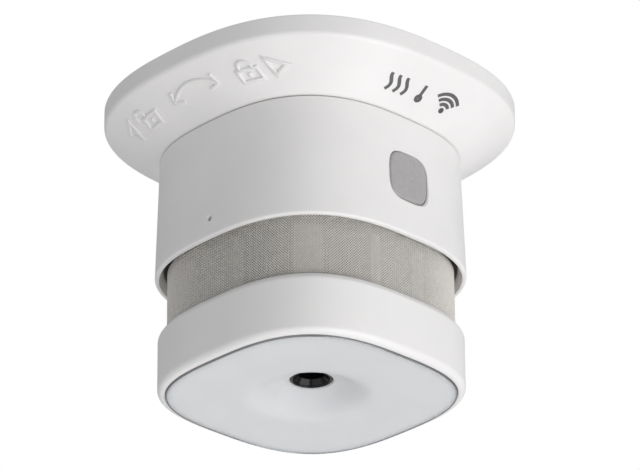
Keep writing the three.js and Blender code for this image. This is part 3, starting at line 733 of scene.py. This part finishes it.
def window_cutter():
    """The button's opening, with a chamfered edge."""
    half = BUTTON["half"] + WINDOW["gap"]
    deep, past = WINDOW["deep"], WINDOW["past"]
    profile = [
        (0, deep), (half, deep), (half, WINDOW["flat"]), (half + WINDOW["edge_wider"], WINDOW["edge"]),
        (half + WINDOW["past_wider"], past), (0, past),
    ]
    place = Matrix.Translation((BUTTON["x"], 0, BUTTON["z"])) @ FACING_FRONT
    part = placed(turned_mesh(profile, BUTTON["n"], ROUND), place)
    return add_piece("window_cutter", *part, "white_plastic", None)


def pinhole_cutter():
    """The pairing switch's pinhole, which flares at the wall's outside."""
    radius, deep, flare = PINHOLE["r"], PINHOLE["deep"], PINHOLE["flare"]
    past = PINHOLE["flare_from"] + flare
    profile = [(0, deep), (radius, deep), (radius, PINHOLE["flare_from"]), (radius + flare, past), (0, past)]
    place = Matrix.Translation((0, PINHOLE["y"], PINHOLE["z"])) @ FACING_LEFT
    return add_piece("pinhole_cutter", *placed(turned_mesh(profile, 2, 32), place), "white_plastic", None)


def upper_housing():
    """The drafted outer wall with the button's window and the pinhole."""
    top, bottom, w = HOUSING[TOP] + PARTING_RISE, HOUSING[BOTTOM], HOUSING[HALF]
    top_w, top_arc, edge = WALL["top_w"], WALL["top_arc"], WALL["edge"]
    top_n, bottom_n, inner = WALL["top_n"], WALL["bottom_n"], WALL_INSIDE["n"]
    shoulder = [(top_w - 0.25, top), *arc(top_w - top_arc, top - top_arc, top_arc, 60, 0, 4)]
    foot = [(*point, bottom_n) for point in arc(w - edge, bottom + edge, edge, 0, -90, 10)]
    outer = [(*point, top_n) for point in shoulder]
    side = [towards((top_w, top - top_arc, top_n), foot[0], share) for share in (0.25, 0.5, 0.75)]
    profile = [
        (WALL_INSIDE["top_w"], top, inner), *outer, *side, *foot,
        (WALL_INSIDE["mouth_w"], bottom, inner),
        (WALL_INSIDE["bottom_w"], bottom + WALL_INSIDE["mouth"], inner),
        (WALL_INSIDE["top_w"], top - 1.0, inner),
    ]
    shell = turned("upper_housing_shell", profile, "white_plastic", "head")
    cut(shell, window_cutter(), pinhole_cutter())
    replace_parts(shell, "upper_housing")


def test_button():
    """Squircle cap with a faint crown, a rolled edge and its retaining flange."""
    half, flange, roll = BUTTON["half"], BUTTON["half"] + BUTTON_FLANGE["wider"], 0.45
    crown = [(half * share, height) for share, height in BUTTON_CROWN]
    edge = arc(half - roll, -roll, roll, 90, 0, 8)
    front, rear = BUTTON_FLANGE["front"], BUTTON_FLANGE["back"]
    stem, stem_back = BUTTON_FLANGE["stem"], BUTTON_FLANGE["stem_back"]
    back = [(half, front), (flange, front), (flange, rear), (stem, rear), (stem, stem_back), (0, stem_back)]
    place = Matrix.Translation((BUTTON["x"], BUTTON["front"], BUTTON["z"])) @ FACING_FRONT
    part = placed(turned_mesh(crown + edge + back, BUTTON["n"]), place)
    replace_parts(add_piece("test_button_cap", *part, "grey_button", "test_button"), "test_button")


# ---------------------------------------------------------------- insect mesh

MESH = cad("insect_mesh")
WEAVE = {"n": 2.7, "pitch": 0.44, "wire": 0.084}


def perimeter_places(half, power, count):
    """Evenly spaced places round a squircle: points and outward normals, and its length."""
    angles = np.linspace(0, 2 * math.pi, 7201)
    radii = half * reach(angles, power)
    points = np.column_stack((radii * np.cos(angles), radii * np.sin(angles)))
    lengths = np.concatenate(([0], np.cumsum(np.linalg.norm(np.diff(points, axis=0), axis=1))))
    wanted = np.linspace(0, lengths[-1], count, endpoint=False)
    xy = np.column_stack([np.interp(wanted, lengths, points[:, k]) for k in (0, 1)])
    normals = np.sign(xy) * np.abs(xy / half) ** (power - 1)
    return xy, normals / np.linalg.norm(normals, axis=1)[:, None], lengths[-1]


def woven_wires(name, lean):
    """One of the weave's two families of wires, each rising on a slant and passing over and under the
    other family's wires in turn."""
    wire = WEAVE["wire"]
    half = MESH[HALF] - 2 * wire
    length = perimeter_places(half, WEAVE["n"], 8)[2]
    count = round(length / WEAVE["pitch"])
    halves = 2 * count  # crossings fall on half pitches
    xy, normal, _ = perimeter_places(half, WEAVE["n"], halves)
    rise = length / count / 2
    steps = math.floor((MESH[TOP] - MESH[BOTTOM]) / rise)
    wires = np.arange(count) * 2
    section = [(1, 0), (0, 1), (-1, 0), (0, -1)]
    points = np.empty((count, steps + 1, len(section), 3))
    for j in range(steps + 1):
        place = (wires + lean * j) % halves
        over = (1 if j % 2 else -1) * lean * wire
        tangent = np.column_stack((-normal[place, 1], normal[place, 0]))
        for k, (out, along) in enumerate(section):
            level = xy[place] + normal[place] * (over + out * wire)
            points[:, j, k, :2] = level - tangent * (along * wire * lean * math.sqrt(0.5))
            points[:, j, k, 2] = MESH[BOTTOM] + j * rise + along * wire * math.sqrt(0.5)
    index = np.arange(count * (steps + 1) * 4).reshape(count, steps + 1, 4)
    low, high = index[:, :-1], index[:, 1:]
    quads = np.stack((low, np.roll(low, -1, 2), np.roll(high, -1, 2), high), -1).reshape(-1, 4)
    ends = np.concatenate((index[:, 0], index[:, -1, ::-1]))
    faces = [tuple(map(int, f)) for f in np.concatenate((quads, ends))]
    return add_piece(name, points.reshape(-1, 3), faces, "steel_mesh", "head", sharp=180)


def insect_mesh():
    """Both families of the weave's wires."""
    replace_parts(woven_wires("mesh_wires_right", 1), "insect_mesh")
    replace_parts(woven_wires("mesh_wires_left", -1), "insect_mesh")


# ---------------------------------------------------------------- lower cap, lens and port

CAP = cad("lower_cap")
LENS = cad("diffuser_lens")
TRIM = cad("trim_ring")
PORT = cad("sounder_port_ring")
CAP_FORM = {"n": 2.83, "top_arc": 1.1, "bottom_arc": 1.1, "bottom_arc_z": -47.7, "inside": 20.6}
SHELF = {"w": 18.6, "top": -44.6, "bottom": -47.3}  # the cap's shelf, which the lens is held on
LENS_FORM = {"n": 2.955, "face": -49.06, "back": -47.7, "wider": 0.07, "edge": 0.1}
LENS_BLEND = ((14, 2.2), (17, 2.6))  # (w, n) on its flat face, between its round dish and squircle edge
DIMPLE = {"hole": 3.46, "far": 12.0, "rise": 2.7, "thick": 1.18}
TRIM_FORM = {"clearance": 0.05, "inner": 0.1, "recess": 0.02, "crown": 0.08}
PORT_FORM = {"outer": 3.36, "bore": 2.25, "mouth": 2.8, "funnel": 1.1, "flange": 0.4}


def lower_cap():
    """The collar round the lens, rounded at both edges, with the shelf that holds the lens."""
    w, top, n, lens_n = CAP[HALF], CAP[TOP], CAP_FORM["n"], LENS_FORM["n"]
    top_arc, inside, chamfer = CAP_FORM["top_arc"], CAP_FORM["inside"], 0.1
    lip_w = TRIM[HALF] + TRIM_FORM["clearance"]
    steps = 12
    lower = arc(w - CAP_FORM["bottom_arc"], CAP_FORM["bottom_arc_z"], CAP_FORM["bottom_arc"], 0, -90, steps)
    bottom = lower[-1][1]
    profile = [
        (inside, top - chamfer), (inside + chamfer, top), (w - top_arc + 0.55, top),
        *arc(w - top_arc, top - top_arc, top_arc, 58, 0, 10),
        *[(*point, n + (lens_n - n) * i / steps) for i, point in enumerate(lower)],
        (lip_w + 0.05, bottom, lens_n), (lip_w, bottom + 0.06, lens_n), (lip_w, SHELF["bottom"], lens_n),
        (SHELF["w"], SHELF["bottom"]), (SHELF["w"], SHELF["top"]), (inside - chamfer, SHELF["top"]),
    ]
    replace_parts(turned("lower_cap_shell", profile, "white_plastic", "head", n), "lower_cap")


def dimple(radius):
    """The height of the dish above the lens's flat face at a radius."""
    along = (radius - DIMPLE["hole"]) / (DIMPLE["far"] - DIMPLE["hole"])
    return DIMPLE["rise"] * (0.5 + 0.5 * math.cos(math.pi * along)) ** 2


def diffuser_lens():
    """The frosted face, dished up to the port: round at the port and a squircle at its edge."""
    w, n, face, edge = LENS[HALF] + LENS_FORM["wider"], LENS_FORM["n"], LENS_FORM["face"], LENS_FORM["edge"]
    radii = np.linspace(DIMPLE["hole"], DIMPLE["far"], 26)
    profile = [
        *[(r, face + dimple(r), 2) for r in radii],
        *[(across, face, power) for across, power in LENS_BLEND],
        *[(*point, n) for point in arc(w - edge, face + edge, edge, -90, 0, 5)],
        (w, LENS_FORM["back"], n),
        *[(r, face + dimple(r) + DIMPLE["thick"], 2) for r in radii[::-1]],
    ]
    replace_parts(turned("diffuser_face", profile, "frosted_lens", "head"), "diffuser_lens")


def trim_ring():
    """The thin metal edge between lens and cap, with a rounded crown."""
    outer, inner, rise = TRIM[HALF], LENS[HALF] + TRIM_FORM["inner"], TRIM_FORM["crown"]
    face = TRIM[BOTTOM] + TRIM_FORM["recess"]
    half = (outer - inner) / 2
    crown = [(inner + half + half * math.cos(angle), face + rise - rise * math.sin(angle))
             for angle in np.linspace(0, math.pi, 11)]
    profile = [(outer, TRIM[TOP]), *crown, (inner, TRIM[TOP])]
    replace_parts(turned("trim_ring_bright", profile, "chrome_trim", "head", LENS_FORM["n"]), "trim_ring")


def port_ring():
    """Black ring with a rounded lip and a funnel in to its bore."""
    outer, bore, face, back = PORT_FORM["outer"], PORT_FORM["bore"], PORT[BOTTOM], PORT[TOP]
    lip, flange = (outer - PORT_FORM["mouth"]) / 2, back - PORT_FORM["flange"]
    profile = [
        (bore, face + PORT_FORM["funnel"]), *arc(outer - lip, face + lip, lip, -180, 0, 14),
        (outer, flange), (PORT[HALF], flange), (PORT[HALF], back), (bore, back),
    ]
    collar = turned("sounder_port_collar", profile, "black_plastic", "head", 2, ROUND, "port_black")
    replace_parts(collar, "sounder_port_ring")


# ---------------------------------------------------------------- the frame's own nodes


def finish_frame_nodes():
    """Each CAD node that still shows takes its slot's finish, except the mesh cage, which takes its grey with
    painted shade on its top ring.
    """
    slots = {row["node"]: row["material_slot"] for row in frame["record"]["subparts"]}
    for name, node in frame["nodes"].items():
        node.data.materials.clear()
        # The mesh cage takes the grey with painted shade on its top ring.
        node.data.materials.append(MATERIALS["cage_grey_painted_shade" if name == "mesh_cage" else slots[name]])


make_camera()
make_materials()
make_floor()
make_studio()
bracket_shell()
bracket_ribs()
bracket_marks()
upper_housing()
test_button()
insect_mesh()
lower_cap()
diffuser_lens()
trim_ring()
port_ring()
finish_frame_nodes()
